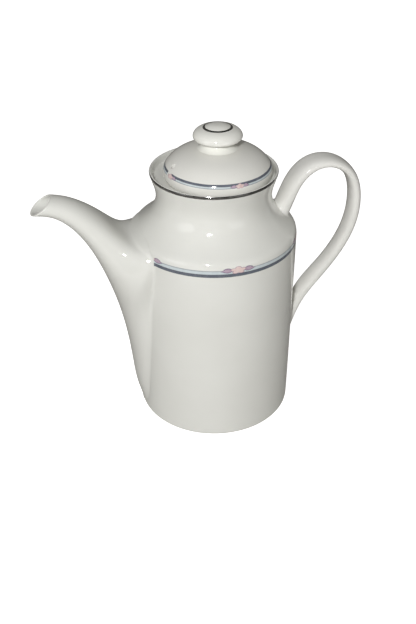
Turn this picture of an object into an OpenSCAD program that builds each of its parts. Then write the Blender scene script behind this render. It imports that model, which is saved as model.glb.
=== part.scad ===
// Glazed china coffee pot with a lift-off lid. Millimetres, +Z up.
// The origin is the centre of the foot, the spout points along -X and the handle along +X.

/* [Body] */
// Radius of the wall just above the foot
foot_r = 54; // [52:0.5:55]
// Radius of the wall at the printed band
wall_r = 55.2; // [54.5:0.1:56]
// Thickness of the cast wall
wall_t = 3.6; // [3:0.1:4.5]
// Thickness of the floor over the foot recess
floor_t = 3.5; // [3:0.5:6]
// Radius of the recess under the foot
recess_r = 46.5; // [44:0.5:48]
// Depth of the recess under the foot
recess_h = 2.5; // [1.5:0.5:3]

/* [Neck and lip] */
// Radius of the hole through the lid ledge
ledge_bore_r = 30.6; // [30.6:0.1:31]
// Radius of the corner where the lid ledge meets the lip
ledge_r = 39; // [38.9:0.1:39.2]
// Height of the ledge that the lid rests on
ledge_z = 174.8; // [174.5:0.1:175]
// Height of the top of the lip
lip_z = 179.5; // [179.3:0.1:180]

/* [Pouring holes] */
// Radius of each hole through the wall behind the spout
pour_hole_r = 2.5; // [2:0.1:3]
// Distance between neighbouring pouring holes
pour_pitch = 11; // [9:0.5:12]
// Height of the middle pouring hole
pour_z = 106; // [100:1:112]

/* [Spout and handle] */
// Wall thickness of the spout at its root
spout_t = 3; // [2.4:0.1:3.4]
// Wall thickness of the spout at its mouth
mouth_t = 1.5; // [1.2:0.1:1.8]
// How deep the luted ends sit in the body wall
lute_depth = 1.2; // [0.8:0.1:2]
// Exponent that sets how square the handle's oval section is
handle_squareness = 2.4; // [2:0.1:3]

/* [Lid] */
// How far the lid sits off the pot's axis, towards the handle
lid_shift = 2.6; // [0:0.1:2.6]
// Radius of the lid's lower edge
lid_r = 35.2; // [34.8:0.1:35.6]
// Outer radius of the locating flange
flange_r = 27.6; // [26:0.1:27.6]
// Thickness of the flange and the dome
lid_t = 3.2; // [2.8:0.1:3.6]
// Depth of the flange below the ledge
flange_h = 15; // [10:1:20]
// Radius of the steam vent
vent_r = 1.5; // [1.3:0.1:2]

/* [Decoration] */
// Thickness of the fired print and metal lines
film = 0.12; // [0.1:0.01:0.2]
// Number of printed flowers round the body
body_flowers = 5; // [3:1:5]
// Number of printed flowers round the lid
lid_flowers = 4; // [3:1:4]

/* [Hidden] */
$fn = 96;

glaze = "#f2f1ea";
platinum = "#8d8f93";
dark_blue = "#6f7682";
pale_blue = "#cfd7da";
fine_grey = "#a9b0b8";
petal_pink = "#e0bdb6";
leaf_mauve = "#b39fb8";

sink = 0.04;            // the prints are fired this far into the glaze
print_clearance = 0.05; // gap between neighbouring lines of a print
curve_steps = 4;        // profile points made for each control point
core_drop = 8;          // the trimming core starts this far under the foot
core_top = lip_z - 3;   // and stops in the neck

// Outline of the outside, foot edge to lip: control points [radius, height]
body_side = [[foot_r, 1.8], [foot_r + 0.3, 20], [foot_r + 0.6, 55], [wall_r - 0.2, 95], [wall_r, 120],
             [wall_r + 0.02, 130], [wall_r + 0.05, 136], [wall_r - 0.6, 139.6], [wall_r - 4.7, 142.5],
             [44.5, 147.5], [40.2, 153], [38.1, 158.5], [37.8, 163.5], [38.6, 168.5], [40.2, 173.5],
             [41.6, 178.2]];
// Outline of the inside, under the ledge down to the floor
inside_side = [[ledge_bore_r, ledge_z - 3.4], [ledge_bore_r + 0.6, ledge_z - 4.8], [34, ledge_z - 8],
               [34.5, 161], [34.6, 156], [36.8, 151], [41.4, 145.6], [46.6, 140.2],
               [wall_r - wall_t, 136.5], [wall_r - wall_t, 128], [wall_r - wall_t, 60],
               [foot_r - wall_t, 26], [foot_r - wall_t, 14],
               [foot_r - wall_t - 1.5, recess_h + floor_t + 1.5], [foot_r - wall_t - 10, recess_h + floor_t]];

// Stations of the spout, foot end to mouth: keel [x, z], crest [x, z], half width, how far up it is widest,
// and how square the section is above that
spout_stations = [
    [[-52.8, 0], [-37.3, -5], 14.8, 0.5, 2], [[-58.1, 16.1], [-35.5, 22.7], 18.2, 0.46, 2],
    [[-59.7, 34.3], [-34, 58.7], 21.2, 0.52, 2.5], [[-61.5, 54], [-34, 95.6], 25.1, 0.56, 3.5],
    [[-64.5, 73.4], [-36.1, 126.4], 27, 0.62, 4.7], [[-68.6, 92], [-42.1, 140.1], 34.7, 0.68, 5.3],
    [[-74, 110], [-58.2, 137], 24.7, 0.57, 3.8], [[-81.1, 129], [-70, 150.2], 18.7, 0.5, 2.6],
    [[-91.2, 146.6], [-80.7, 160.5], 13.9, 0.5, 2.1], [[-104.7, 158.3], [-94, 168.4], 10, 0.5, 2],
    [[-119.1, 159.5], [-104.3, 170.4], 9.4, 0.46, 2.1]];

// Stations of the handle, shoulder end to wall end: [x, z], thickness, width
handle_stations = [
    [[44, 141], 11, 16], [[49, 153.5], 10.2, 17], [[53.5, 166], 9.4, 18.5], [[62.5, 176.5], 8.3, 19],
    [[75.5, 179.5], 6.8, 18], [[88, 174.5], 6.3, 16.7], [[97, 162], 7.2, 16], [[98.3, 138], 7.7, 15],
    [[91.3, 117], 7.6, 13.8], [[79.2, 99], 7.9, 13.5], [[69.7, 88], 8.6, 14.3], [[59, 73], 8.1, 13.8],
    [[53, 47.5], 4.7, 10.6]];

// Outline of the lid's outside, lower edge to the middle of the dome
lid_side = [[lid_r - 0.4, ledge_z + 0.7], [lid_r + 0.1, ledge_z + 1.8], [lid_r + 0.2, ledge_z + 3.4],
            [lid_r - 0.1, ledge_z + 5.6], [lid_r - 1, ledge_z + 7.8], [lid_r - 3.2, ledge_z + 10.6],
            [lid_r - 7, ledge_z + 14], [lid_r - 12.8, ledge_z + 17], [lid_r - 19.6, ledge_z + 18.7],
            [lid_r - 27, ledge_z + 19.2], [0, ledge_z + 19.4]];
flange_end = ledge_z - flange_h;

// Outline of the knob, foot of the stem to the rim of its crown
knob_side = [[14, 192.8], [12, 193.9], [10.6, 195.6], [9.2, 197.8], [9, 198.9], [12.6, 198.9], [15.6, 199.9],
             [16, 202.2], [14.6, 204.6], [11.6, 206.4], [8.4, 207.1]];
crown_side = [[8.4, 207.1], [7.2, 207.9], [4.8, 208.7], [2, 209], [0, 209]];

// Centres of the pouring holes, [y, z]: one in the middle and six round it
pour_holes = concat([[0, pour_z]],
                    [for (a = [60:60:360]) [pour_pitch * sin(a), pour_z + pour_pitch * cos(a)]]);

// The print, as heights on the body and on the lid
body_dark = [130.7, 132.6];
body_blue = [132.6, 134.9];
body_fine = [135.1, 135.5];
lid_dark = [182.2, 183.2];
lid_blue = [181.2, 182.2];
lid_fine = [180.8, 181.1];
flower_reach = 3;
skin_reach = 8; // how deep a flower's flat shape is stood through the curved skin
body_flower_z = 135;
lid_flower_z = 181.5;
// Angles round the pot from +X, anticlockwise from above
body_flower_turn = 210.5;
body_flower_step = 63.5;
lid_flower_turn = 199;
lid_flower_step = 82;
vent_turn = 193;
vent_in = 4.5; // from the lid's edge in to the middle of the vent
spout_half_turn = 34.5; // the body print stops this far either side of the spout's middle
lid_join_turn = 191;    // the lid print's two ends leave a gap from here
lid_join_gap = 8;

// ---- curves ----
function tail_point(c) = 2 * c[0] - c[1];
function head_point(c) = 2 * c[len(c) - 1] - c[len(c) - 2];
function padded(c) = concat([tail_point(c)], c, [head_point(c)]);
function spline_at(c, i, f) = (c[i] * pow(1 - f, 3) + c[i + 1] * (3 * f * f * f - 6 * f * f + 4)
    + c[i + 2] * (-3 * f * f * f + 3 * f * f + 3 * f + 1) + c[i + 3] * f * f * f) / 6;
// Cubic B-spline through the ends of a control list, n points to each span
function smooth(c, n) = let (p = padded(c)) concat(
    [for (i = [0:len(c) - 2], k = [0:n - 1]) spline_at(p, i, k / n)],
    [c[len(c) - 1]]);
function column(stations, k) = [for (s = stations) s[k]];
function swap(c) = [for (p = c) [p[1], p[0]]];
function back(c) = [for (k = [len(c) - 1:-1:0]) c[k]];
function heights(low, high, n) = [for (k = [0:n]) low + (high - low) * k / n];
function power(v, e) = sign(v) * pow(abs(v), e);

body_outline = smooth(body_side, curve_steps);
inside_outline = smooth(inside_side, curve_steps);
lid_outline = smooth(lid_side, curve_steps);
knob_outline = smooth(knob_side, curve_steps);
crown_outline = smooth(crown_side, curve_steps);
function body_r(z) = lookup(z, swap(body_outline));
function lid_r_at(z) = lookup(z, swap(lid_outline));

// ---- shapes ----
// Closed tube of rings, each a list of the same number of points
module ring_solid(rings) {
    n = len(rings[0]);
    last = len(rings) - 1;
    points = [for (ring = rings) each ring];
    sides = [for (i = [0:last - 1], j = [0:n - 1])
        let (k = (j + 1) % n, a = i * n, b = (i + 1) * n)
            each [[a + j, b + j, b + k], [a + j, b + k, a + k]]];
    first_cap = [for (j = [1:n - 2]) [0, j, j + 1]];
    last_cap = [for (j = [1:n - 2]) [last * n, last * n + j + 1, last * n + j]];
    polyhedron(points = points, faces = concat(sides, first_cap, last_cap));
}

// One ring of the spout, thinned by t all round
function spout_ring(keel, crest, half_w, widest, square, t, n) =
    let (along = (crest - keel) / norm(crest - keel), low = keel + along * t, high = crest - along * t)
    [for (j = [0:n - 1])
        let (a = 360 * j / n, c = cos(a), e = c < 0 ? 2 / square : 1,
             up = c < 0 ? widest + (1 - widest) * pow(-c, e) : widest * (1 - c),
             p = low + (high - low) * up)
        [p[0], (t - half_w) * power(sin(a), e), p[1]]];
function spout_rings(t_root, t_mouth, steps, n) =
    let (keels = smooth(column(spout_stations, 0), steps), crests = smooth(column(spout_stations, 1), steps),
         widths = smooth(column(spout_stations, 2), steps), widest = smooth(column(spout_stations, 3), steps),
         square = smooth(column(spout_stations, 4), steps), last = len(keels) - 1)
    [for (i = [0:last])
        spout_ring(keels[i], crests[i], widths[i], widest[i], square[i],
                   t_root + (t_mouth - t_root) * i / last, n)];
// The bore runs a little past the mouth so that it cuts a clean edge
function run_on(rings, d) = concat(rings, [[for (j = [0:len(rings[0]) - 1])
    let (a = rings[len(rings) - 2][j], b = rings[len(rings) - 1][j]) b + (b - a) / norm(b - a) * d]]);

// One ring of the handle: an oval across the centre line
function handle_ring(at, along, thick, width, n) =
    let (out = [-along[1], along[0]], e = 2 / handle_squareness)
    [for (j = [0:n - 1])
        let (a = 360 * j / n, p = at + out * power(cos(a), e) * thick / 2)
        [p[0], -power(sin(a), e) * width / 2, p[1]]];
function handle_rings(steps, n) =
    let (at = smooth(column(handle_stations, 0), steps), thick = smooth(column(handle_stations, 1), steps),
         width = smooth(column(handle_stations, 2), steps), last = len(at) - 1)
    [for (i = [0:last])
        let (ahead = at[min(i + 1, last)] - at[max(i - 1, 0)])
        handle_ring(at[i], ahead / norm(ahead), thick[i], width[i], n)];

// Everything inside the body wall, to trim the luted ends
module body_core() {
    rotate_extrude()
        polygon(concat([[0, -core_drop], [foot_r - lute_depth, -core_drop]],
                       [for (p = body_outline) if (p[1] < core_top) [p[0] - lute_depth, p[1]]],
                       [[0, core_top]]));
}

// A thin line or band that follows the outline r(z) between two heights
module body_print(span) {
    zs = heights(span[0] + print_clearance / 2, span[1] - print_clearance / 2, 3);
    rotate([0, 0, 180 + spout_half_turn])
        rotate_extrude(angle = 360 - 2 * spout_half_turn)
            polygon(concat([for (z = zs) [body_r(z) + film, z]],
                           [for (z = back(zs)) [body_r(z) - sink, z]]));
}
module lid_print(span) {
    zs = heights(span[0] + print_clearance / 2, span[1] - print_clearance / 2, 3);
    translate([lid_shift, 0, 0])
        rotate([0, 0, lid_join_turn + lid_join_gap])
            rotate_extrude(angle = 360 - lid_join_gap)
                polygon(concat([for (z = zs) [lid_r_at(z) + film, z]],
                               [for (z = back(zs)) [lid_r_at(z) - sink, z]]));
}

// A pointed leaf from the origin along +X, as half a length of print
function leaf_outline(l, h, n) = concat(
    [for (k = [0:n]) [l * k / n, h * pow(sin(180 * pow(k / n, 0.8)), 1.2)]],
    [for (k = [n - 1:-1:1]) [l * k / n, -0.75 * h * pow(sin(180 * pow(k / n, 0.8)), 1.2)]]);
// Five round petals about the origin
function petal_outline(r, flat, n) = [for (k = [0:n - 1])
    let (a = 360 * k / n, q = r * (0.8 + 0.2 * abs(cos(2.5 * (a - 90))))) [q * cos(a), flat * q * sin(a)]];
module petal_shape(size) {
    polygon(petal_outline(size, 0.5, 40));
}
module leaf_shape(size) {
    difference() {
        for (side = [0, 1])
            mirror([side, 0, 0])
                translate([0.45 * size, 0])
                    polygon(leaf_outline(1.75 * size, 0.33 * size, 10));
        polygon(petal_outline(size + print_clearance, 0.5, 40));
    }
}
// Stands a flat shape up at the given radius, facing outwards
module stood_up(r, z) {
    translate([r - skin_reach, 0, z])
        rotate([90, 0, 90])
            linear_extrude(height = 1.5 * skin_reach)
                children();
}
// The skin the flowers are cut from, one film outside the lines
module body_flower_skin() {
    zs = heights(body_flower_z - flower_reach, body_flower_z + flower_reach, 8);
    rotate([0, 0, 180 + spout_half_turn])
        rotate_extrude(angle = 360 - 2 * spout_half_turn)
            polygon(concat([for (z = zs) [body_r(z) + 2 * film, z]],
                           [for (z = back(zs)) [body_r(z) + film + 0.01, z]]));
}
module lid_flower_skin() {
    zs = heights(lid_flower_z - flower_reach, lid_flower_z + flower_reach - 0.5, 8);
    rotate([0, 0, lid_join_turn + lid_join_gap / 2])
        rotate_extrude(angle = 360 - lid_join_gap / 2)
            polygon(concat([for (z = zs) [lid_r_at(z) + 2 * film, z]],
                           [for (z = back(zs)) [lid_r_at(z) + film + 0.01, z]]));
}
module round_body() {
    intersection() {
        body_flower_skin();
        for (k = [0:body_flowers - 1])
            rotate([0, 0, body_flower_turn + body_flower_step * k])
                stood_up(wall_r, body_flower_z)
                    children();
    }
}
module round_lid() {
    translate([lid_shift, 0, 0])
        intersection() {
            lid_flower_skin();
            for (k = [0:lid_flowers - 1])
                rotate([0, 0, lid_flower_turn + lid_flower_step * k])
                    stood_up(lid_r, lid_flower_z)
                        children();
        }
}

// ---- pieces ----
module pot_body() {
    top = body_outline[len(body_outline) - 1];
    color(glaze)
        difference() {
            rotate_extrude()
                polygon(concat(
                    [[0, recess_h], [recess_r, recess_h], [recess_r, 0.5], [recess_r + 0.6, 0],
                     [foot_r - 1.6, 0], [foot_r - 0.5, 0.5]],
                    body_outline,
                    [[top[0] - 0.1, lip_z - 0.6], [top[0] - 0.5, lip_z], [top[0] - 0.9, lip_z - 0.1],
                     [top[0] - 1.3, lip_z - 0.7], [ledge_r + 0.4, ledge_z + 1.4], [ledge_r, ledge_z],
                     [ledge_bore_r + 0.4, ledge_z], [ledge_bore_r, ledge_z - 0.4]],
                    inside_outline,
                    [[0, recess_h + floor_t]]));
            for (at = pour_holes)
                translate([-wall_r - 1, at[0], at[1]])
                    rotate([0, 90, 0])
                        cylinder(h = 20, r = pour_hole_r);
        }
}

module spout() {
    color(glaze)
        difference() {
            ring_solid(spout_rings(0, 0, 3, 32));
            ring_solid(run_on(spout_rings(spout_t, mouth_t, 3, 28), 3));
            body_core();
        }
}

module handle() {
    color(glaze)
        difference() {
            ring_solid(handle_rings(3, 24));
            body_core();
        }
}

module rim_line() {
    top = body_outline[len(body_outline) - 1];
    edge = [[top[0] - 0.35, top[1] - 1.2], top, [top[0] - 0.1, lip_z - 0.6], [top[0] - 0.5, lip_z]];
    color(platinum)
        rotate_extrude()
            polygon(concat(edge, [for (k = [3:-1:0]) edge[k] + [film, k == 3 ? film : 0]]));
}

module body_dark_line() { color(dark_blue) body_print(body_dark); }
module body_blue_band() { color(pale_blue) body_print(body_blue); }
module body_fine_line() { color(fine_grey) body_print(body_fine); }
module body_flower_petals() { color(petal_pink) round_body() petal_shape(5); }
module body_flower_leaves() { color(leaf_mauve) round_body() leaf_shape(5); }

module lid() {
    inner = [for (k = [len(lid_outline) - 1:-1:0]) let (p = lid_outline[k])
        if (p[1] > ledge_z + 6) [max(0, p[0] - lid_t), p[1] - lid_t]];
    color(glaze)
        translate([lid_shift, 0, 0])
            difference() {
                rotate_extrude()
                    polygon(concat(
                        [[flange_r, flange_end + 1], [flange_r, ledge_z - 1], [flange_r + 0.6, ledge_z],
                         [lid_r - 0.9, ledge_z]],
                        lid_outline,
                        inner,
                        [[flange_r - lid_t + 1.5, ledge_z + 3], [flange_r - lid_t, ledge_z + 1],
                         [flange_r - lid_t, flange_end + 1],
                         [flange_r - lid_t + 1, flange_end], [flange_r - 1, flange_end]]));
                rotate([0, 0, vent_turn])
                    translate([lid_r - vent_in, 0, ledge_z])
                        cylinder(h = 20, r = vent_r);
            }
}

module lid_knob() {
    color(glaze)
        translate([lid_shift, 0, 0])
            rotate_extrude()
                polygon(concat([[0, 192.8]], knob_outline, crown_outline));
}

module knob_line() {
    edge = [[8.9, 206.98], [8.1, 207.28]];
    color(platinum)
        translate([lid_shift, 0, 0])
            rotate_extrude()
                polygon([edge[0], edge[1], edge[1] + [0, film], edge[0] + [0, film]]);
}

module lid_dark_line() { color(dark_blue) lid_print(lid_dark); }
module lid_blue_band() { color(pale_blue) lid_print(lid_blue); }
module lid_fine_line() { color(fine_grey) lid_print(lid_fine); }
module lid_flower_petals() { color(petal_pink) round_lid() petal_shape(2.9); }
module lid_flower_leaves() { color(leaf_mauve) round_lid() leaf_shape(2.9); }

pot_body();
spout();
handle();
rim_line();
body_dark_line();
body_blue_band();
body_fine_line();
body_flower_petals();
body_flower_leaves();
lid();
lid_knob();
knob_line();
lid_dark_line();
lid_blue_band();
lid_fine_line();
lid_flower_petals();
lid_flower_leaves();
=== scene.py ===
import math
import bmesh
import bpy
import numpy as np
from mathutils import Matrix, Vector
from mathutils.bvhtree import BVHTree


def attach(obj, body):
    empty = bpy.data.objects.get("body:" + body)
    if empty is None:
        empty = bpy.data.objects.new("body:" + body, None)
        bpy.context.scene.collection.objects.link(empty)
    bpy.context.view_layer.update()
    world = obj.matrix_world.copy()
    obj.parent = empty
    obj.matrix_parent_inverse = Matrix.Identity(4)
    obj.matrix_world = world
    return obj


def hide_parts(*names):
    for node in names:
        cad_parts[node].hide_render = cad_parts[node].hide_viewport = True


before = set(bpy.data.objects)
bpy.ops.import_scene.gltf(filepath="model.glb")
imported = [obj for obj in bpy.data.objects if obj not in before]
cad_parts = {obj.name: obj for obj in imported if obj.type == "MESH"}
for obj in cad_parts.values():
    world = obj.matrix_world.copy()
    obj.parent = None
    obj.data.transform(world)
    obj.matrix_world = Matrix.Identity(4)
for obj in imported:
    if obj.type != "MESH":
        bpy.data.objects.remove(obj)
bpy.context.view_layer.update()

MM = 0.001
CRISP_EDGE = math.radians(38)   # edges that turn more than this stay sharp
GLAZE_LIFT = 0.02               # a luted piece's skin lies this far outside the wall

# ---- the potter's measurements, in millimetres ----

FOOT_R, WALL_R, WALL_T, FLOOR_T = 54.0, 55.2, 3.6, 3.5
RECESS_R, RECESS_H = 46.5, 2.5
LEDGE_BORE_R, LEDGE_R, LEDGE_Z = 30.6, 39.0, 174.8
LIP_R, LIP_Z = 41.6, 179.5
LID_SHIFT, LID_R, LID_T, FLANGE_R, FLANGE_H = 2.6, 35.2, 3.2, 27.6, 15.0
POUR_HOLE_R, POUR_PITCH, POUR_Z = 2.5, 11.0, 106.0
VENT_R, VENT_TURN, VENT_IN = 1.5, 193.0, 4.5

BODY_SIDE = [(FOOT_R, 1.8), (FOOT_R + 0.3, 20), (FOOT_R + 0.6, 55), (WALL_R - 0.2, 95), (WALL_R, 120),
             (WALL_R + 0.02, 130), (WALL_R + 0.05, 136), (WALL_R - 0.6, 139.6), (WALL_R - 4.7, 142.5),
             (44.5, 147.5), (40.2, 153), (38.1, 158.5), (37.8, 163.5), (38.6, 168.5), (40.2, 173.5),
             (LIP_R, LIP_Z - 1.3)]
INSIDE_SIDE = [(LEDGE_BORE_R, LEDGE_Z - 3.4), (LEDGE_BORE_R + 0.6, LEDGE_Z - 4.8), (34, LEDGE_Z - 8),
               (34.5, 161), (34.6, 156), (36.8, 151), (41.4, 145.6), (46.6, 140.2),
               (WALL_R - WALL_T, 136.5), (WALL_R - WALL_T, 128), (WALL_R - WALL_T, 60),
               (FOOT_R - WALL_T, 26), (FOOT_R - WALL_T, 14),
               (FOOT_R - WALL_T - 1.5, RECESS_H + FLOOR_T + 1.5), (FOOT_R - WALL_T - 10, RECESS_H + FLOOR_T)]
LID_SIDE = [(LID_R - 0.4, LEDGE_Z + 0.7), (LID_R + 0.1, LEDGE_Z + 1.8), (LID_R + 0.2, LEDGE_Z + 3.4),
            (LID_R - 0.1, LEDGE_Z + 5.6), (LID_R - 1, LEDGE_Z + 7.8), (LID_R - 3.2, LEDGE_Z + 10.6),
            (LID_R - 7, LEDGE_Z + 14), (LID_R - 12.8, LEDGE_Z + 17), (LID_R - 19.6, LEDGE_Z + 18.7),
            (LID_R - 27, LEDGE_Z + 19.2), (0, LEDGE_Z + 19.4)]
KNOB_SIDE = [(14.6, 193.1), (12.6, 193.7), (10.7, 195.2), (9.4, 197.3), (9.3, 198.6), (11, 198.9),
             (13.6, 199.1), (15.8, 200.2), (16, 202.2), (14.6, 204.6), (11.6, 206.4), (8.4, 207.1),
             (6.8, 207.9), (4.6, 208.7), (2, 209), (0, 209)]

# keel (x, z), crest (x, z), half width, how far up it is widest, squareness above that
SPOUT_STATIONS = [
    (-52.8, 0, -37.3, -5, 14.8, 0.5, 2), (-58.1, 16.1, -35.5, 22.7, 18.2, 0.46, 2),
    (-59.7, 34.3, -34, 58.7, 21.2, 0.52, 2.5), (-61.5, 54, -34, 95.6, 25.1, 0.56, 3.5),
    (-64.5, 73.4, -36.1, 126.4, 27, 0.62, 4.7), (-68.6, 92, -42.1, 140.1, 34.7, 0.68, 5.3),
    (-74, 110, -58.2, 137, 24.7, 0.57, 3.8), (-81.1, 129, -70, 150.2, 18.7, 0.5, 2.6),
    (-91.2, 146.6, -80.7, 160.5, 13.9, 0.5, 2.1), (-104.7, 158.3, -94, 168.4, 10, 0.5, 2),
    (-119.1, 159.5, -104.3, 170.4, 9.4, 0.46, 2.1)]
SPOUT_T, MOUTH_T = 3.0, 1.5

# centre line (x, z), thickness, width
HANDLE_STATIONS = [
    (44, 141, 11, 16), (49, 153.5, 10.2, 17), (53.5, 166, 9.4, 18.5), (62.5, 176.5, 8.3, 19),
    (75.5, 179.5, 6.8, 18), (88, 174.5, 6.3, 16.7), (97, 162, 7.2, 16), (98.3, 138, 7.66, 15),
    (91.3, 117, 7.6, 13.8), (79.2, 99, 7.9, 13.5), (69.7, 88, 8.6, 14.3), (59, 73, 8.1, 13.8),
    (53, 47.5, 4.7, 10.6)]
HANDLE_SQUARENESS = 2.4

# the print, as heights on the body and on the lid
BODY_LINES = {"dark": (130.7, 133.0), "blue": (133.0, 134.9), "fine": (134.9, 135.5)}
LID_LINES = {"dark": (182.0, 183.3), "blue": (181.2, 182.0), "fine": (180.75, 181.2)}
BODY_FLOWER = {"height": 135.1, "turn": 210.5, "step": 63.5, "count": 5, "size": 1.0}
LID_FLOWER = {"height": 181.6, "turn": 199.0, "step": 82.0, "count": 4, "size": 0.58}
CREASE_TURN = 34.6                        # the body's print stops this far each side of the spout
LID_JOIN_TURN, LID_JOIN_GAP = 191.0, 8.0  # where the lid's print begins and ends
LINE_LIFT, LID_LINE_LIFT, FLOWER_LIFT = 0.025, 0.02, 0.04
METAL_LINE_Z = (206.86, 207.36)           # the ring on the knob

# ---- curves ----


def padded(points):
    """Control points with one more past each end, so that the curve starts and ends on the list."""
    c = np.asarray(points, float)
    return np.vstack([2 * c[0] - c[1], c, 2 * c[-1] - c[-2]])


def spline_at(control, u):
    """A cubic B-spline at u, counted in spans from its start."""
    i = np.clip(np.floor(u).astype(int), 0, len(control) - 4)
    f = (u - i)[:, None]
    return (control[i] * (1 - f) ** 3 + control[i + 1] * (3 * f ** 3 - 6 * f ** 2 + 4)
            + control[i + 2] * (-3 * f ** 3 + 3 * f ** 2 + 3 * f + 1) + control[i + 3] * f ** 3) / 6


def smooth(points, per_span):
    """A smooth line through both ends of a list of control points."""
    control = padded(points)
    spans = len(control) - 3
    return spline_at(control, np.linspace(0, spans, per_span * spans + 1))


BODY_OUTLINE = smooth(BODY_SIDE, 12)
LID_OUTLINE = smooth(LID_SIDE, 10)
FINE_OUTLINE = smooth(BODY_SIDE, 60)
FINE_SLOPE = np.gradient(FINE_OUTLINE[:, 0], FINE_OUTLINE[:, 1])
LID_FINE = smooth(LID_SIDE, 40)


def body_radius(z):
    return np.interp(z, FINE_OUTLINE[:, 1], FINE_OUTLINE[:, 0])


def lid_radius(z):
    return np.interp(z, LID_FINE[:, 1], LID_FINE[:, 0])


def from_body(p):
    """Distance outside the body wall, and its direction, for an array of points."""
    r = np.hypot(p[:, 0], p[:, 1]) + 1e-9
    slope = np.interp(p[:, 2], FINE_OUTLINE[:, 1], FINE_SLOPE)
    steep = np.sqrt(1 + slope ** 2)
    way = np.stack([p[:, 0] / r, p[:, 1] / r, -slope], 1) / steep[:, None]
    return (r - body_radius(p[:, 2])) / steep, way


SPOUT_SPLINE, HANDLE_SPLINE = padded(SPOUT_STATIONS), padded(HANDLE_STATIONS)


def spout_points(t, phi, inset=0.0):
    """Points on the spout: t goes 0 to 1 from root to mouth, phi from keel to crest at half a turn."""
    t, phi = np.broadcast_arrays(np.asarray(t, float), np.asarray(phi, float))
    shape = t.shape
    s = spline_at(SPOUT_SPLINE, t.ravel() * (len(SPOUT_STATIONS) - 1))
    inset = np.broadcast_to(inset, shape).ravel()[:, None]
    keel, crest = s[:, 0:2], s[:, 2:4]
    along = (crest - keel) / np.linalg.norm(crest - keel, axis=1, keepdims=True)
    keel, crest = keel + along * inset, crest - along * inset
    c, sn = np.cos(phi.ravel())[:, None], np.sin(phi.ravel())[:, None]
    widest, power = s[:, 5:6], np.where(c < 0, 2 / s[:, 6:7], 1)
    up = np.where(c < 0, widest + (1 - widest) * np.abs(c) ** power, widest * (1 - c))
    y = (s[:, 4:5] - inset) * np.sign(sn) * np.abs(sn) ** power
    at = keel + (crest - keel) * up
    return np.concatenate([at[:, :1], -y, at[:, 1:]], 1).reshape(shape + (3,))


def handle_points(t, phi):
    """Points on the handle: t runs 0 to 1 from the shoulder to the wall, phi round the section."""
    t, phi = np.broadcast_arrays(np.asarray(t, float), np.asarray(phi, float))
    shape = t.shape
    u = t.ravel() * (len(HANDLE_STATIONS) - 1)
    s = spline_at(HANDLE_SPLINE, u)
    ahead = (spline_at(HANDLE_SPLINE, np.minimum(u + 0.02, len(HANDLE_STATIONS) - 1))
             - spline_at(HANDLE_SPLINE, np.maximum(u - 0.02, 0)))[:, :2]
    ahead /= np.linalg.norm(ahead, axis=1, keepdims=True)
    out = np.stack([-ahead[:, 1], ahead[:, 0]], 1)
    c, sn, e = np.cos(phi.ravel()), np.sin(phi.ravel()), 2 / HANDLE_SQUARENESS
    across = np.sign(c) * np.abs(c) ** e * s[:, 2] / 2
    at = s[:, :2] + out * across[:, None]
    y = np.sign(sn) * np.abs(sn) ** e * s[:, 3] / 2
    return np.stack([at[:, 0], -y, at[:, 1]], 1).reshape(shape + (3,))


# ---- soft joins between a luted piece and the body ----


def grid_faces(rows, columns, closed):
    """Four-sided faces of a grid of points, closed round each row or left open."""
    faces = []
    for i in range(rows - 1):
        for j in range(columns if closed else columns - 1):
            k = (j + 1) % columns
            faces.append((i * columns + j, i * columns + k, (i + 1) * columns + k, (i + 1) * columns + j))
    return faces


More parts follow.
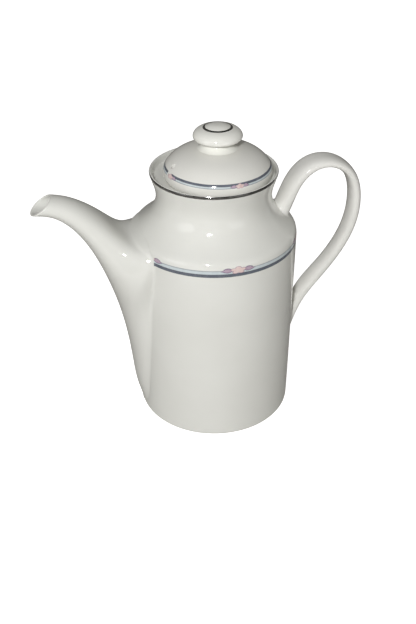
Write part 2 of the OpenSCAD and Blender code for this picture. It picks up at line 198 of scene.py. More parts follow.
class LutedPiece:
    """The outer surface of a piece stuck to the body, with the clay smoothed over the seam."""

    SETTLING_STEPS = 4      # each brings the points closer to the smoothed surface
    SEAM_PROBE = 1.5        # how far beside the seam it looks for the piece
    SKIRT_REACH = 0.99      # the skirt's share of the smoothing's reach

    def __init__(self, surface, turns, steps, softness):
        grid = surface(np.linspace(0, 1, steps)[:, None], np.linspace(0, 2 * np.pi, turns + 1)[None, :-1])
        points = [Vector(p) for p in grid.reshape(-1, 3)]
        self.tree = BVHTree.FromPolygons(points, grid_faces(steps, turns, True))
        centre = grid[steps // 2].mean(0)
        near, way, _, _ = self.tree.find_nearest(Vector(grid[steps // 2, 0]))
        self.side = 1.0 if (near - Vector(centre)).dot(way) > 0 else -1.0
        self.softness = softness

    def away(self, p):
        """Distance outside the piece, and its direction, for an array of points."""
        far, way = np.zeros(len(p)), np.zeros((len(p), 3))
        for n, q in enumerate(p):
            near, normal, _, gap = self.tree.find_nearest(Vector(q))
            normal = normal * self.side
            gone = Vector(q) - near
            sign = 1.0 if gone.dot(normal) >= 0 else -1.0
            far[n] = sign * gap
            way[n] = gone / gap * sign if gap > 0.05 else normal
        return far, way

    def settle(self, p, lift=0.0):
        """Moves points onto the smoothed surface of body and piece. Gives the points and their normals."""
        p = np.array(p, float)
        for _ in range(self.SETTLING_STEPS):
            from_wall, wall_way = from_body(p)
            from_piece, piece_way = self.away(p)
            soft = self.softness(p)
            blend = np.clip(soft - np.abs(from_wall - from_piece), 0, None) / soft
            gap = np.minimum(from_wall, from_piece) - blend * blend * soft / 4
            share = np.where(from_wall < from_piece, 1 - blend / 2, blend / 2)[:, None]
            way = share * wall_way + (1 - share) * piece_way
            size = np.linalg.norm(way, axis=1, keepdims=True)
            p -= way / size ** 2 * gap[:, None]
        way /= np.linalg.norm(way, axis=1, keepdims=True)
        return p + way * lift, way

    def seam_skirt(self, seam, closed, rows):
        """Rows of points on the body beside a seam, from the far edge in to the seam."""
        if closed:
            along = np.roll(seam, -1, 0) - np.roll(seam, 1, 0)
        else:
            along = np.gradient(seam, axis=0)
        along /= np.linalg.norm(along, axis=1, keepdims=True)
        _, normal = from_body(seam)
        beside = np.cross(normal, along)
        probe = slice(len(seam) // 3, len(seam) // 3 + 1)
        ahead, _ = self.away(seam[probe] + beside[probe] * self.SEAM_PROBE)
        behind, _ = self.away(seam[probe] - beside[probe] * self.SEAM_PROBE)
        if ahead[0] < behind[0]:
            beside = -beside
        reach = self.softness(seam)[:, None] * self.SKIRT_REACH
        skirt = []
        for n in range(rows, 0, -1):
            p = seam + beside * reach * n / rows
            p[:, :2] *= (body_radius(p[:, 2]) / np.hypot(p[:, 0], p[:, 1]))[:, None]
            skirt.append(p)
        return skirt


def ramp(x, low, high):
    """Rises from 0 to 1 between low and high, level at both ends."""
    f = np.clip((x - low) / (high - low), 0, 1)
    return f * f * (3 - 2 * f)


# the spout's join is softer where its crest meets the shoulder
SPOUT_JOIN = LutedPiece(spout_points, 128, 260, lambda p: 2.1 + 3.6 * ramp(p[:, 2], 134, 141))
HANDLE_JOIN = LutedPiece(handle_points, 72, 320, lambda p: np.full(len(p), 1.9))
SPOUT_NEAR_TURN = 47            # beyond this turn from the spout the wall is bare of its join

# ---- mesh makers ----


def make_piece(name, points, faces, normals=None, crisp=False):
    """A smooth-shaded piece from points in millimetres, with given normals or with its crisp edges kept."""
    mesh = bpy.data.meshes.new(name)
    mesh.from_pydata([tuple(np.asarray(p) * MM) for p in points], [], faces)
    mesh.validate()
    mesh.update()
    for face in mesh.polygons:
        face.use_smooth = True
    if crisp:
        mesh.set_sharp_from_angle(angle=CRISP_EDGE)
    if normals is not None:
        for face in mesh.polygons:
            if face.normal.dot(Vector(normals[face.vertices[0]])) < 0:
                face.flip()
        mesh.update()
        mesh.normals_split_custom_set_from_vertices([tuple(n) for n in normals])
    piece = bpy.data.objects.new(name, mesh)
    bpy.context.scene.collection.objects.link(piece)
    return piece


def turned(name, outline, turns=160, shift=0.0, crisp=True):
    """A piece thrown on the wheel: a closed or open outline of (r, z) turned about the axis."""
    points, rings = [], []
    for r, z in outline:
        if r < 1e-6:
            rings.append([len(points)] * turns)
            points.append((shift, 0, z))
            continue
        rings.append(range(len(points), len(points) + turns))
        for j in range(turns):
            a = 2 * math.pi * j / turns
            points.append((shift + r * math.cos(a), r * math.sin(a), z))
    faces = []
    for low, high in zip(rings[:-1], rings[1:]):
        for j in range(turns):
            k = (j + 1) % turns
            corners = []
            for v in (low[j], low[k], high[k], high[j]):
                if v not in corners:
                    corners.append(v)
            if len(corners) > 2:
                faces.append(corners)
    return make_piece(name, points, faces, crisp=crisp)


def drill(piece, name, holes):
    """Bores round holes through a piece. Each hole is a centre, a direction, a length and a radius."""
    cutter_mesh = bpy.data.meshes.new(name)
    work = bmesh.new()
    for centre, way, length, radius in holes:
        turn = Vector(way).to_track_quat("Z", "Y").to_matrix().to_4x4()
        bmesh.ops.create_cone(work, cap_ends=True, segments=32, radius1=radius * MM, radius2=radius * MM,
                              depth=length * MM, matrix=Matrix.Translation(Vector(centre) * MM) @ turn)
    work.to_mesh(cutter_mesh)
    work.free()
    cutter = bpy.data.objects.new(name, cutter_mesh)
    bpy.context.scene.collection.objects.link(cutter)
    cut = piece.modifiers.new("holes", "BOOLEAN")
    cut.operation, cut.solver, cut.object = "DIFFERENCE", "EXACT", cutter
    bpy.context.view_layer.update()
    done = bpy.data.meshes.new_from_object(piece.evaluated_get(bpy.context.evaluated_depsgraph_get()))
    piece.modifiers.clear()
    piece.data = done
    bpy.data.objects.remove(cutter)
    for face in done.polygons:
        face.use_smooth = True
    done.set_sharp_from_angle(angle=CRISP_EDGE)


def arc(centre, radius, start, end, n):
    """n points of an arc, with its start and end in degrees."""
    return [(centre[0] + radius * math.cos(math.radians(a)), centre[1] + radius * math.sin(math.radians(a)))
            for a in np.linspace(start, end, n)]


# ---- the thrown and cast pieces ----


def make_body():
    foot = [(0, RECESS_H), (RECESS_R - 0.6, RECESS_H), (RECESS_R - 0.15, RECESS_H - 0.2),
            (RECESS_R, RECESS_H - 0.6), (RECESS_R, 0.5), (RECESS_R + 0.15, 0.15), (RECESS_R + 0.5, 0),
            (FOOT_R - 2, 0), (FOOT_R - 1.1, 0.15), (FOOT_R - 0.45, 0.6), (FOOT_R - 0.1, 1.2)]
    lip = [(LIP_R + 0.02, LIP_Z - 0.9), (LIP_R - 0.1, LIP_Z - 0.5), (LIP_R - 0.4, LIP_Z - 0.15),
           (LIP_R - 0.8, LIP_Z - 0.05), (LIP_R - 1.2, LIP_Z - 0.2), (LIP_R - 1.5, LIP_Z - 0.6)]
    seat = [(LEDGE_R + 0.8, LEDGE_Z + 3.1), (LEDGE_R + 0.5, LEDGE_Z + 1.8), (LEDGE_R + 0.3, LEDGE_Z + 0.8),
            (LEDGE_R + 0.15, LEDGE_Z + 0.3), (LEDGE_R - 0.2, LEDGE_Z + 0.05), (LEDGE_R - 0.7, LEDGE_Z),
            (LEDGE_BORE_R + 0.5, LEDGE_Z), (LEDGE_BORE_R + 0.15, LEDGE_Z - 0.15),
            (LEDGE_BORE_R, LEDGE_Z - 0.5)]
    inside = [tuple(p) for p in smooth(INSIDE_SIDE, 8)] + [(0, RECESS_H + FLOOR_T)]
    outside = [tuple(p) for p in BODY_OUTLINE]
    body = turned("pot_body_casting", foot + outside + lip + seat + inside, turns=192)
    centres = [(POUR_PITCH * math.sin(a), POUR_Z + POUR_PITCH * math.cos(a))
               for a in np.radians(np.arange(0, 360, 60))]
    centres.append((0, POUR_Z))
    drill(body, "pouring_hole_cutters",
          [((-WALL_R + 2, y, z), (1, 0, 0), 16, POUR_HOLE_R) for y, z in centres])
    return body


def seam_on_spout(columns):
    """Where the spout's skin meets the wall, from the keel up the -Y side and over the top."""
    around = np.linspace(0, np.pi, 400)
    seam_t, seam_phi = [], []
    for t in np.linspace(0.02, 0.75, 500):
        gap, _ = from_body(spout_points(np.full(len(around), t), around))
        if gap[0] <= 0:
            continue
        seam_t.append(t)
        inside = np.nonzero(gap <= 0)[0]
        if len(inside) == 0:
            seam_phi.append(np.pi)
            break
        j = inside[0]
        share = gap[j - 1] / (gap[j - 1] - gap[j])
        seam_phi.append(around[j - 1] + (around[j] - around[j - 1]) * share)
    seam_t, seam_phi = np.array([seam_t[0] - 0.001] + seam_t), np.array([0.0] + seam_phi)
    steps = np.linalg.norm(np.diff(spout_points(seam_t, seam_phi), axis=0), axis=1)
    run = np.concatenate([[0], np.cumsum(steps)])
    even = np.linspace(0, run[-1], columns)
    return np.interp(even, run, seam_t), np.interp(even, run, seam_phi)


def mirrored(near):
    """Closes rows that run from keel to crest on the -Y side with the same rows turned over to +Y."""
    return np.concatenate([near, near[:, 1:-1][:, ::-1] * np.array([1, -1, 1])], 1)


def make_spout():
    """The spout from the edge of its seam out to the mouth, round the rim and down inside."""
    half, skirt_rows, seam_rows, neck_rows, rim_rows, inner_rows = 90, 9, 84, 60, 11, 30
    around = np.linspace(0, np.pi, half + 1)
    seam_t, seam_phi = seam_on_spout(half + 1)
    clear_t, rim_t, root_t = seam_t[-1] + 0.1, 0.992, 0.62
    rows = SPOUT_JOIN.seam_skirt(spout_points(seam_t, seam_phi), False, skirt_rows)
    for row in rows:
        row[0, 1] = row[-1, 1] = 0
    for v in np.linspace(0, 1, seam_rows) ** 1.6:   # rows lie closer together towards the seam
        rows.append(spout_points((1 - v) * seam_t + v * clear_t, (1 - v) * seam_phi + v * around))
    joined = len(rows)
    for t in np.linspace(clear_t, rim_t, neck_rows)[1:]:
        rows.append(spout_points(np.full(half + 1, t), around))
    outer = rows[-1]
    inner = spout_points(np.full(half + 1, rim_t), around, MOUTH_T)
    mouth = spout_points(np.full(half + 1, 1.0), around, MOUTH_T / 2)
    centre, half_wall = (outer + inner) / 2, (outer - inner) / 2
    for a in np.radians(np.linspace(0, 180, rim_rows)[1:]):
        rows.append(centre + half_wall * math.cos(a) + (mouth - centre) * math.sin(a))
    for t in np.linspace(rim_t, root_t, inner_rows)[1:]:
        wall = MOUTH_T + (SPOUT_T - MOUTH_T) * (1 - t)
        rows.append(spout_points(np.full(half + 1, t), around, wall))
    near = np.array(rows)
    settled, way = SPOUT_JOIN.settle(near[:joined].reshape(-1, 3), lift=GLAZE_LIFT)
    near[:joined] = settled.reshape(joined, half + 1, 3)
    near[:, 0, 1] = near[:, -1, 1] = 0
    full = mirrored(near)
    spout = make_piece("moulded_spout", full.reshape(-1, 3), grid_faces(len(full), full.shape[1], True))
    blend_normals(spout, mirrored(way.reshape(joined, half + 1, 3)), skirt_rows + 1)
    return spout


def blend_normals(spout, settled_way, skirt_rows):
    """The skirt's normals come from the smoothed surface, so that it runs into the wall with no line."""
    mesh = spout.data
    work = bmesh.new()
    work.from_mesh(mesh)
    bmesh.ops.recalc_face_normals(work, faces=work.faces)
    work.to_mesh(mesh)
    work.free()
    mesh.update()
    normals = np.array([v.vector[:] for v in mesh.vertex_normals])
    rows, columns, _ = settled_way.shape
    probe = columns * (rows // 2)
    if normals[probe].dot(settled_way.reshape(-1, 3)[probe]) < 0:
        for face in mesh.polygons:
            face.flip()
        normals = -normals
    normals[:skirt_rows * columns] = settled_way[:skirt_rows].reshape(-1, 3)
    mesh.normals_split_custom_set_from_vertices([tuple(n) for n in normals])


def seam_on_handle(around, start, end):
    """How far along each line of the handle it first meets the wall, going from start to end."""
    t = np.linspace(start, end, 1500)
    gap = np.stack([from_body(handle_points(t, np.full(len(t), phi)))[0] for phi in around])
    first = np.argmax(gap <= 0, axis=1)
    before = np.take_along_axis(gap, (first - 1)[:, None], 1)[:, 0]
    after = np.take_along_axis(gap, first[:, None], 1)[:, 0]
    return t[first - 1] + (t[first] - t[first - 1]) * before / (before - after)


def make_handle():
    """The loop from its seam on the shoulder round to its seam on the wall."""
    turns, steps, skirt_rows, middle = 72, 150, 5, 0.45
    around = np.linspace(0, 2 * np.pi, turns + 1)[:-1]
    top, bottom = seam_on_handle(around, middle, 0.0), seam_on_handle(around, middle, 1.0)
    rows = HANDLE_JOIN.seam_skirt(handle_points(top, around), True, skirt_rows)
    for v in np.linspace(0, 1, steps):   # rows lie closer together towards the seams
        eased = v - 0.06 * math.sin(2 * math.pi * v)
        rows.append(handle_points(top + (bottom - top) * eased, around))
    rows += HANDLE_JOIN.seam_skirt(handle_points(bottom, around), True, skirt_rows)[::-1]
    settled, way = HANDLE_JOIN.settle(np.array(rows).reshape(-1, 3), lift=GLAZE_LIFT)
    handle = make_piece("loop_handle", settled, grid_faces(len(rows), turns, True))
    mesh, probe = handle.data, turns * (len(rows) // 2)
    if mesh.polygons[probe].normal.dot(Vector(way[probe])) < 0:
        for face in mesh.polygons:
            face.flip()
        mesh.update()
    mesh.normals_split_custom_set_from_vertices([tuple(n) for n in way])
    return handle


def make_lid():
    under = [(max(0.0, r - LID_T), z - LID_T) for r, z in LID_OUTLINE[::-1] if z > LEDGE_Z + 5]
    bore_r = FLANGE_R - LID_T
    inside = [(0, under[0][1])] + under
    inside += [(bore_r + 1.7, LEDGE_Z + 2.6), (bore_r + 0.4, LEDGE_Z + 1.4), (bore_r, LEDGE_Z)]
    end = arc((FLANGE_R - LID_T / 2, LEDGE_Z - FLANGE_H + LID_T / 2), LID_T / 2, 180, 360, 9)
    flange = [(FLANGE_R, LEDGE_Z - 1.2), (FLANGE_R + 0.25, LEDGE_Z - 0.3), (FLANGE_R + 0.8, LEDGE_Z)]
    brim = [(LID_R - 1.6, LEDGE_Z), (LID_R - 0.9, LEDGE_Z + 0.12), (LID_R - 0.55, LEDGE_Z + 0.4)]
    dome = [tuple(p) for p in LID_OUTLINE]
    lid = turned("domed_lid", inside + end + flange + brim + dome, shift=LID_SHIFT)
    turn, reach = math.radians(VENT_TURN), LID_R - VENT_IN
    centre = (LID_SHIFT + reach * math.cos(turn), reach * math.sin(turn), LEDGE_Z + 10)
    drill(lid, "vent_cutter", [(centre, (0, 0, 1), 14, VENT_R)])
    return lid


def make_knob():
    return turned("lid_knob_turned", [tuple(p) for p in smooth(KNOB_SIDE, 8)], turns=120, shift=LID_SHIFT)


# ---- the fired prints and metal lines ----


def on_body(turn, z, lift):
    """Points on the body at a turn in degrees, smoothed over the spout's seam where they come near it."""
    a, r = np.radians(turn), body_radius(z)
    p = np.stack([r * np.cos(a), r * np.sin(a), z], 1)
    _, way = from_body(p)
    laid = p + way * lift
    close = np.abs(turn % 360 - 180) < SPOUT_NEAR_TURN
    if close.any():
        laid[close], way[close] = SPOUT_JOIN.settle(p[close], lift=lift + GLAZE_LIFT)
    return laid, way


def on_lid(turn, z, lift):
    """Points on the lid at a turn in degrees."""
    a, r = np.radians(turn), lid_radius(z)
    slope = (lid_radius(z + 0.1) - lid_radius(z - 0.1)) / 0.2
    way = np.stack([np.cos(a), np.sin(a), -slope], 1)
    way /= np.linalg.norm(way, axis=1, keepdims=True)
    return np.stack([LID_SHIFT + r * np.cos(a), r * np.sin(a), z], 1) + way * lift, way


def printed_line(name, heights, start, end, lay, lift):
    """A band of the print between two heights, from one turn in degrees to another."""
    turns, rows = 360, 5
    grid_turn, grid_z = np.meshgrid(np.linspace(start, end, turns), np.linspace(*heights, rows))
    points, way = lay(grid_turn.ravel(), grid_z.ravel(), lift)
    return make_piece(name, points, grid_faces(rows, turns, False), normals=way)


def flat_shape(edge, centre, rings=3):
    """Points and faces of a drawn shape: rings of its edge drawn in towards a centre."""
    points = [centre]
    for k in range(1, rings + 1):
        points += list(centre + (edge - centre) * k / rings)
    n = len(edge)
    faces = [(0, 1 + j, 1 + (j + 1) % n) for j in range(n)]
    for k in range(rings - 1):
        for j in range(n):
            m = (j + 1) % n
            faces.append((1 + k * n + j, 1 + (k + 1) * n + j, 1 + (k + 1) * n + m, 1 + k * n + m))
    return np.array(points), faces


def leaf_edge(length, height, lean):
    """A pointed leaf along +X from near the flower."""
    k = np.linspace(0, 1, 15)
    rise = height * np.sin(np.pi * k ** 0.75) ** 1.15
    spine = lean * k * length
    upper = np.stack([k * length, spine + rise], 1)
    lower = np.stack([k * length, spine - 0.72 * rise], 1)
    return np.concatenate([upper, lower[-2:0:-1]])


def petal_edge(length, width, turn):
    """A petal that grows from the heart of the flower at a turn in degrees, drawn wider than it is high."""
    a = np.linspace(0, 2 * np.pi, 17)[:-1]
    x = length * (0.5 - 0.5 * np.cos(a))
    y = width / 2 * np.sin(a) * (0.75 + 0.35 * x / length)
    c, s = math.cos(math.radians(turn)), math.sin(math.radians(turn))
    return np.stack([(x * c - y * s) * 1.25, (x * s + y * c) * 0.6], 1)


# start, length, height and lean of the leaves on one side of the flower
LEAVES = ((3.4, 8.0, 1.9, -0.03), (3.8, 5.8, 1.3, 0.2), (3.6, 5.2, 1.1, -0.22))
OUTER_PETAL_TURNS, INNER_PETAL_TURNS = (90, 18, -54, -126, 162), (126, 54, -18, -90, -162)
OUTER_PETAL, INNER_PETAL = (4.3, 3.6), (2.7, 2.2)   # length and width
OVERLAP_LIFT = 0.0015                               # keeps shapes of one colour apart where they overlap


def flower_drawing():
    """A small sprig: a round flower of outer and inner petals between three pointed leaves on each side."""
    drawing = {"leaf_edge": [], "leaf": [], "petal_edge": [], "petal": []}

    def draw(kind, edge, middle, scale):
        drawing[kind].append((middle + (edge - middle) * np.array(scale), middle))

    for side in (-1, 1):
        for start, length, height, lean in LEAVES:
            edge = leaf_edge(length, height, lean)
            edge[:, 0] = side * (edge[:, 0] + start)
            draw("leaf_edge", edge, edge.mean(0), (1, 1))
            draw("leaf", edge, edge.mean(0), (0.86, 0.62))
    for turn in OUTER_PETAL_TURNS:
        edge = petal_edge(*OUTER_PETAL, turn)
        draw("petal_edge", edge, edge.mean(0), (1, 1))
        draw("petal", edge, edge.mean(0), (0.76, 0.76))
    for turn in INNER_PETAL_TURNS:
        edge = petal_edge(*INNER_PETAL, turn)
        draw("petal", edge, edge.mean(0), (1, 1))
        draw("petal_edge", edge, edge.mean(0), (1.25, 1.25))
    return drawing


def printed_flowers(name, kind, place, lay, radius, lift, limit):
    """One colour of every flower in a row, none of it at a turn below the limit."""
    turns, heights, lifts, reach, faces = [], [], [], [], []
    for n in range(place["count"]):
        middle = place["turn"] + place["step"] * n
        for order, (edge, centre) in enumerate(flower_drawing()[kind]):
            flat, shape_faces = flat_shape(edge, centre)
            faces += [tuple(len(turns) + v for v in face) for face in shape_faces]
            for x, y in flat:
                turns.append(max(limit, middle + math.degrees(x * place["size"] / radius)))
                heights.append(place["height"] + y * place["size"])
                lifts.append(lift + OVERLAP_LIFT * (order % 5))
                reach.append(math.hypot(x, y) / 5)
    points, way = lay(np.array(turns), np.array(heights), 0.0)
    piece = make_piece(name, points + way * np.array(lifts)[:, None], faces, normals=way)
    layer = piece.data.uv_layers.new(name="petal_reach")
    for loop in piece.data.loops:
        layer.data[loop.index].uv = (reach[loop.vertex_index], 0.5)
    return piece


# ---- finishes ----


def group(name, inputs, outputs):
    tree = bpy.data.node_groups.new(name, "ShaderNodeTree")
    for label, kind, value in inputs:
        tree.interface.new_socket(name=label, in_out="INPUT", socket_type=kind).default_value = value
    for label, kind in outputs:
        tree.interface.new_socket(name=label, in_out="OUTPUT", socket_type=kind)
    return tree, tree.nodes.new("NodeGroupInput"), tree.nodes.new("NodeGroupOutput")


def feed(tree, socket, value):
    """Links a socket to another node's output, or gives it a number or a colour."""
    if isinstance(value, bpy.types.NodeSocket):
        tree.links.new(value, socket)
    elif isinstance(value, tuple):
        socket.default_value = (*value, 1)
    else:
        socket.default_value = value


def noise(tree, where, scale, detail, rough=0.5):
    node = tree.nodes.new("ShaderNodeTexNoise")
    for label, value in (("Vector", where), ("Scale", scale), ("Detail", detail), ("Roughness", rough)):
        feed(tree, node.inputs[label], value)
    return node.outputs["Fac"]


def spread(tree, value, low, high, out_low, out_high):
    """Maps a value from one range to another and stops at its ends."""
    node = tree.nodes.new("ShaderNodeMapRange")
    for label, limit in zip(("Value", "From Min", "From Max", "To Min", "To Max"),
                            (value, low, high, out_low, out_high)):
        feed(tree, node.inputs[label], limit)
    return node.outputs["Result"]


def mixed(tree, factor, first, second):
    """A colour between two others."""
    node = tree.nodes.new("ShaderNodeMix")
    node.data_type = "RGBA"
    sockets = {(s.name, s.type): s for s in node.inputs}
    feed(tree, sockets["Factor", "VALUE"], factor)
    feed(tree, sockets["A", "RGBA"], first)
    feed(tree, sockets["B", "RGBA"], second)
    return [s for s in node.outputs if s.type == "RGBA"][0]


def worked_out(tree, operation, *values):
    node = tree.nodes.new("ShaderNodeMath")
    node.operation = operation
    for socket, value in zip(node.inputs, values):
        feed(tree, socket, value)
    return node.outputs[0]


def object_place(tree):
    return tree.nodes.new("ShaderNodeTexCoord").outputs["Object"]


def make_glaze_surface():
    """Colour that clouds where the glaze is thick, kiln specks, and the slow ripple of a fired surface."""
    tree, given, out = group("fired_glaze_surface", [
        ("Thin", "NodeSocketColor", (0.8, 0.8, 0.77, 1)), ("Thick", "NodeSocketColor", (0.74, 0.74, 0.71, 1)),
        ("Specks", "NodeSocketFloat", 0.4), ("Gloss Low", "NodeSocketFloat", 0.04),
        ("Gloss High", "NodeSocketFloat", 0.09)],
        [("Color", "NodeSocketColor"), ("Roughness", "NodeSocketFloat"), ("Ripple", "NodeSocketFloat")])
    where = object_place(tree)
    cloud = spread(tree, noise(tree, where, 22, 3), 0.35, 0.68, 0, 1)
    specks = spread(tree, noise(tree, where, 900, 2, 0.6), 0.74, 0.80, 0, given.outputs["Specks"])
    clouded = mixed(tree, cloud, given.outputs["Thin"], given.outputs["Thick"])
    tree.links.new(mixed(tree, specks, clouded, (0.42, 0.36, 0.29)), out.inputs["Color"])
    wiped = noise(tree, where, 60, 4, 0.6)
    gloss = spread(tree, wiped, 0.3, 0.7, given.outputs["Gloss Low"], given.outputs["Gloss High"])
    tree.links.new(gloss, out.inputs["Roughness"])
    fine = worked_out(tree, "MULTIPLY", noise(tree, where, 420, 2), 0.06)
    ripple = worked_out(tree, "MULTIPLY_ADD", noise(tree, where, 45, 1), 0.75, fine)
    tree.links.new(ripple, out.inputs["Ripple"])
    return tree


def make_print_ink():
    """A print's ink: mottled, and thinner in tiny pinholes."""
    tree, given, out = group("fired_print_ink", [
        ("Ink", "NodeSocketColor", (0.2, 0.2, 0.25, 1)), ("Pale Ink", "NodeSocketColor", (0.3, 0.3, 0.36, 1)),
        ("Pinholes", "NodeSocketFloat", 0.5)],
        [("Color", "NodeSocketColor"), ("Worn", "NodeSocketFloat"), ("Roughness", "NodeSocketFloat")])
    where = object_place(tree)
    mottle = spread(tree, noise(tree, where, 260, 3, 0.6), 0.38, 0.66, 0, 1)
    holes = spread(tree, noise(tree, where, 1500, 2, 0.5), 0.72, 0.8, 0, given.outputs["Pinholes"])
    ink = mixed(tree, mottle, given.outputs["Ink"], given.outputs["Pale Ink"])
    tree.links.new(mixed(tree, holes, ink, (0.8, 0.8, 0.77)), out.inputs["Color"])
    tree.links.new(holes, out.inputs["Worn"])
    tree.links.new(spread(tree, noise(tree, where, 90, 3), 0.3, 0.7, 0.09, 0.2), out.inputs["Roughness"])
    return tree


GLAZE_SURFACE = make_glaze_surface()
PRINT_INK = make_print_ink()


def finish_nodes(name):
    material = bpy.data.materials.new(name)
    material.use_nodes = True
    tree = material.node_tree
    return material, tree, tree.nodes["Principled BSDF"]


def place_group(tree, shared, **values):
    node = tree.nodes.new("ShaderNodeGroup")
    node.node_tree = shared
    for label, value in values.items():
        feed(tree, node.inputs[label.replace("_", " ")], value)
    return node


def height_above_table(tree):
    parts = tree.nodes.new("ShaderNodeSeparateXYZ")
    tree.links.new(object_place(tree), parts.inputs[0])
    return parts.outputs["Z"]


def china_glaze(name, thin, thick, specks=0.35, bare_foot=False):
    """White glaze, wiped off the very edge that stands on the table where the foot is bare."""
    material, tree, shader = finish_nodes(name)
    surface = place_group(tree, GLAZE_SURFACE, Thin=thin, Thick=thick, Specks=specks)
    colour, gloss = surface.outputs["Color"], surface.outputs["Roughness"]
    if bare_foot:
        wiped = spread(tree, height_above_table(tree), 0.0002, 0.0008, 1, 0)
        colour = mixed(tree, wiped, colour, (0.68, 0.62, 0.52))
        gloss = spread(tree, wiped, 0, 1, gloss, 0.75)
    bump = tree.nodes.new("ShaderNodeBump")
    bump.inputs["Strength"].default_value = 0.08
    bump.inputs["Distance"].default_value = 0.0006
    tree.links.new(surface.outputs["Ripple"], bump.inputs["Height"])
    for label, value in (("Base Color", colour), ("Roughness", gloss), ("Normal", bump.outputs["Normal"]),
                         ("IOR", 1.52), ("Coat Weight", 0.25), ("Coat Roughness", 0.025)):
        feed(tree, shader.inputs[label], value)
    return material


def fired_print(name, ink, pale, pinholes=0.35):
    material, tree, shader = finish_nodes(name)
    surface = place_group(tree, PRINT_INK, Ink=ink, Pale_Ink=pale, Pinholes=pinholes)
    tree.links.new(surface.outputs["Color"], shader.inputs["Base Color"])
    tree.links.new(surface.outputs["Roughness"], shader.inputs["Roughness"])
    return material


def petal_print(name, heart, edge):
    """Petals deepen towards the heart of the flower."""
    material, tree, shader = finish_nodes(name)
    reach = tree.nodes.new("ShaderNodeUVMap")
    reach.uv_map = "petal_reach"
    parts = tree.nodes.new("ShaderNodeSeparateXYZ")
    tree.links.new(reach.outputs["UV"], parts.inputs[0])
    surface = place_group(tree, PRINT_INK, Ink=heart, Pale_Ink=edge, Pinholes=0.2)
    outward = spread(tree, parts.outputs["X"], 0.15, 0.95, 0, 0.7)
    tree.links.new(mixed(tree, outward, surface.outputs["Color"], edge), shader.inputs["Base Color"])
    tree.links.new(surface.outputs["Roughness"], shader.inputs["Roughness"])
    return material


def platinum_line(name):
    """Fired platinum, its metal colour painted dark as a painted reflection of the dim room, rubbed through
    in specks to the glaze.
    """
    material, tree, shader = finish_nodes(name)
    # both metal tones are painted dark: a painted reflection of the dim room
    painted_dark_reflection, pale = (0.16, 0.158, 0.155), (0.24, 0.235, 0.23)
    surface = place_group(tree, PRINT_INK, Ink=painted_dark_reflection, Pale_Ink=pale, Pinholes=0.25)
    tree.links.new(surface.outputs["Color"], shader.inputs["Base Color"])
    tree.links.new(surface.outputs["Roughness"], shader.inputs["Roughness"])
    tree.links.new(spread(tree, surface.outputs["Worn"], 0, 0.5, 1, 0.2), shader.inputs["Metallic"])
    return material


WHITE_THIN, WHITE_THICK = (0.805, 0.808, 0.77), (0.778, 0.78, 0.74)
body_glaze = china_glaze("white_glaze_body", WHITE_THIN, WHITE_THICK, bare_foot=True)
spout_glaze = china_glaze("white_glaze_spout", WHITE_THIN, WHITE_THICK, specks=0.25)
# painted light: the handle's white is made lighter than the body's, though one glaze covers both
handle_glaze = china_glaze("white_glaze_handle", (0.88, 0.875, 0.84), (0.85, 0.845, 0.81), specks=0.25)
lid_glaze = china_glaze("cream_glaze_lid", (0.82, 0.815, 0.775), (0.79, 0.785, 0.742), specks=0.5)
# painted light: the knob's white is made lighter than the body's, though one glaze covers both
knob_glaze = china_glaze("white_glaze_knob", (0.88, 0.88, 0.835), (0.85, 0.85, 0.8), specks=0.3)
slate_ink = fired_print("slate_line_print", (0.115, 0.13, 0.16), (0.15, 0.165, 0.2))
blue_ink = fired_print("pale_blue_band_print", (0.58, 0.645, 0.675), (0.63, 0.69, 0.715), 0.2)
grey_ink = fired_print("fine_grey_line_print", (0.36, 0.39, 0.42), (0.44, 0.47, 0.5), 0.3)
petal_ink = petal_print("petal_pink_print", (0.7, 0.5, 0.49), (0.8, 0.66, 0.63))
petal_edge_ink = fired_print("petal_edge_print", (0.4, 0.27, 0.33), (0.52, 0.38, 0.44), 0.2)
leaf_ink = fired_print("mauve_leaf_print", (0.44, 0.33, 0.42), (0.53, 0.42, 0.5), 0.25)
leaf_edge_ink = fired_print("dark_mauve_edge_print", (0.15, 0.115, 0.19), (0.22, 0.17, 0.27), 0.25)
platinum = platinum_line("fired_platinum")

# ---- putting the pot together ----


def fit(piece, body, finish, slot, *nodes):
    """Gives a piece its finish and its body, and hides the CAD nodes that it stands for. The slot is not
    used.
    """
    piece.data.materials.clear()
    piece.data.materials.append(finish)
    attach(piece, body)
    if nodes:
        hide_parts(*nodes)


fit(make_body(), "pot", body_glaze, "glaze", "pot_body")
fit(make_spout(), "pot", spout_glaze, "glaze", "spout")
fit(make_handle(), "pot", handle_glaze, "glaze", "handle")
fit(make_lid(), "lid", lid_glaze, "glaze", "lid")
fit(make_knob(), "lid", knob_glaze, "glaze", "lid_knob")

body_turns = (180 + CREASE_TURN, 540 - CREASE_TURN)
lid_turns = (LID_JOIN_TURN + LID_JOIN_GAP, LID_JOIN_TURN + 360)
for shade, kind, ink, slot in (("dark", "line", slate_ink, "print_dark"),
                               ("blue", "band", blue_ink, "print_blue"),
                               ("fine", "line", grey_ink, "print_grey")):
    fit(printed_line(f"body_{shade}_{kind}_print", BODY_LINES[shade], *body_turns, on_body, LINE_LIFT),
        "pot", ink, slot, f"body_{shade}_{kind}")
    fit(printed_line(f"lid_{shade}_{kind}_print", LID_LINES[shade], *lid_turns, on_lid, LID_LINE_LIFT),
        "lid", ink, slot, f"lid_{shade}_{kind}")

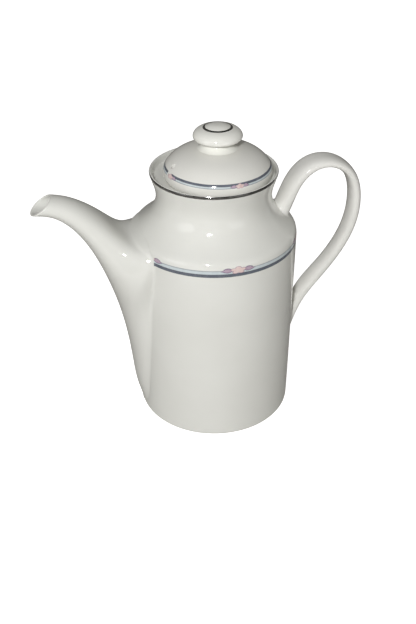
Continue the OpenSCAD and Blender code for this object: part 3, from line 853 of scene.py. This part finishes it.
for part, body, place, lay, radius, limit in (
        ("body", "pot", BODY_FLOWER, on_body, WALL_R, 180 + CREASE_TURN),
        ("lid", "lid", LID_FLOWER, on_lid, LID_R - 0.5, LID_JOIN_TURN + 3)):
    for name, kind, above, ink, slot, nodes in (
            ("leaf_edges", "leaf_edge", 0.0, leaf_edge_ink, "leaf_mauve", [f"{part}_flower_leaves"]),
            ("leaves", "leaf", 0.01, leaf_ink, "leaf_mauve", []),
            ("petal_edges", "petal_edge", 0.02, petal_edge_ink, "petal_pink", []),
            ("petals", "petal", 0.03, petal_ink, "petal_pink", [f"{part}_flower_petals"])):
        flowers = printed_flowers(f"{part}_{name}", kind, place, lay, radius, FLOWER_LIFT + above, limit)
        fit(flowers, body, ink, slot, *nodes)

rim = [(LIP_R - 0.12, LIP_Z - 2.1), (LIP_R - 0.04, LIP_Z - 1.8), (LIP_R + 0.06, LIP_Z - 1.3),
       (LIP_R + 0.1, LIP_Z - 0.9), (LIP_R - 0.03, LIP_Z - 0.45), (LIP_R - 0.2, LIP_Z - 0.22)]
fit(turned("rim_platinum_line", rim, turns=192, crisp=False), "pot", platinum, "platinum", "rim_line")
ring = [(r + 0.01, z + 0.03) for r, z in smooth(KNOB_SIDE, 40) if METAL_LINE_Z[0] < z < METAL_LINE_Z[1]]
fit(turned("knob_platinum_line", ring, turns=192, shift=LID_SHIFT, crisp=False),
    "lid", platinum, "platinum", "knob_line")

# ---- studio ----

BACKDROP = 1.05
CAMERA_TURN, CAMERA_AWAY, CAMERA_UP = 258.0, 0.5048, 0.4081
CAMERA_DOWN, CAMERA_SWING, CAMERA_ROLL, LENS = 33.96, 0.0085, -0.0065, 49.14


def seen_by_camera(tree):
    return tree.nodes.new("ShaderNodeLightPath").outputs["Is Camera Ray"]


def make_floor():
    """A wide table just under the foot, which the camera sees as white as the backdrop."""
    mesh = bpy.data.meshes.new("studio_floor")
    work = bmesh.new()
    bmesh.ops.create_grid(work, x_segments=24, y_segments=24, size=3.0)
    work.to_mesh(mesh)
    work.free()
    floor = bpy.data.objects.new("studio_floor", mesh)
    bpy.context.scene.collection.objects.link(floor)
    floor.location.z = -0.0001
    material, tree, shader = finish_nodes("pale_paper_floor")
    glow = spread(tree, seen_by_camera(tree), 0, 1, 0, BACKDROP)
    for label, value in (("Base Color", (0.5, 0.49, 0.47)), ("Roughness", 0.9), ("Specular IOR Level", 0.1),
                         ("Emission Color", (1.0, 1.0, 1.0)), ("Emission Strength", glow)):
        feed(tree, shader.inputs[label], value)
    mesh.materials.append(material)


def add_light(name, energy, place, target, size):
    data = bpy.data.lights.new(name, "AREA")
    data.energy, data.shape, data.size = energy, "DISK", size
    lamp = bpy.data.objects.new(name, data)
    bpy.context.scene.collection.objects.link(lamp)
    lamp.location = place
    lamp.rotation_euler = (Vector(target) - Vector(place)).to_track_quat("-Z", "Y").to_euler()


def make_camera():
    data = bpy.data.cameras.new("viewpoint")
    data.lens, data.sensor_width, data.clip_start = LENS, 36, 0.01
    camera = bpy.data.objects.new("viewpoint", data)
    bpy.context.scene.collection.objects.link(camera)
    a = math.radians(CAMERA_TURN)
    place = Matrix.Translation((CAMERA_AWAY * math.cos(a), CAMERA_AWAY * math.sin(a), CAMERA_UP))
    aim = Matrix.Rotation(a - math.radians(270) + CAMERA_SWING, 4, "Z")
    tilt = Matrix.Rotation(math.radians(90 - CAMERA_DOWN), 4, "X")
    camera.matrix_world = place @ aim @ tilt @ Matrix.Rotation(CAMERA_ROLL, 4, "Z")
    bpy.context.scene.camera = camera
    return camera


def make_world():
    """A dim warm room with a white backdrop that only the camera sees."""
    world = bpy.data.worlds.new("white_studio")
    world.use_nodes = True
    bpy.context.scene.world = world
    tree = world.node_tree
    where = tree.nodes.new("ShaderNodeTexCoord")
    parts = tree.nodes.new("ShaderNodeSeparateXYZ")
    tree.links.new(where.outputs["Generated"], parts.inputs[0])
    high = spread(tree, parts.outputs["Z"], -0.1, 0.9, 0, 1)
    room = mixed(tree, high, (0.2, 0.193, 0.175), (0.155, 0.152, 0.145))
    shown = mixed(tree, seen_by_camera(tree), room, (BACKDROP, BACKDROP, BACKDROP))
    tree.links.new(shown, tree.nodes["Background"].inputs["Color"])


def light_the_pot(camera):
    """A flash beside the camera, a fill on each side and a weak softbox above."""
    turn = camera.matrix_world.to_3x3()
    middle = Vector((0, 0, 0.1))
    flash_way = camera.matrix_world.translation + turn @ Vector((-0.07, 0.02, 0)) - middle
    add_light("flash", 8.8, middle + flash_way * 2, middle, 0.09)
    add_light("left_fill", 1.15, (-0.9, -0.45, 0.35), (-0.05, 0, 0.08), 0.6)
    add_light("right_fill", 0.6, (0.42, -0.76, 0.12), (0.02, 0, 0.06), 0.5)
    add_light("overhead_softbox", 0.2, (-0.2, -0.3, 1.1), (0, 0, 0.1), 0.9)


bpy.context.scene.view_settings.view_transform = "Standard"
make_floor()
make_world()
light_the_pot(make_camera())
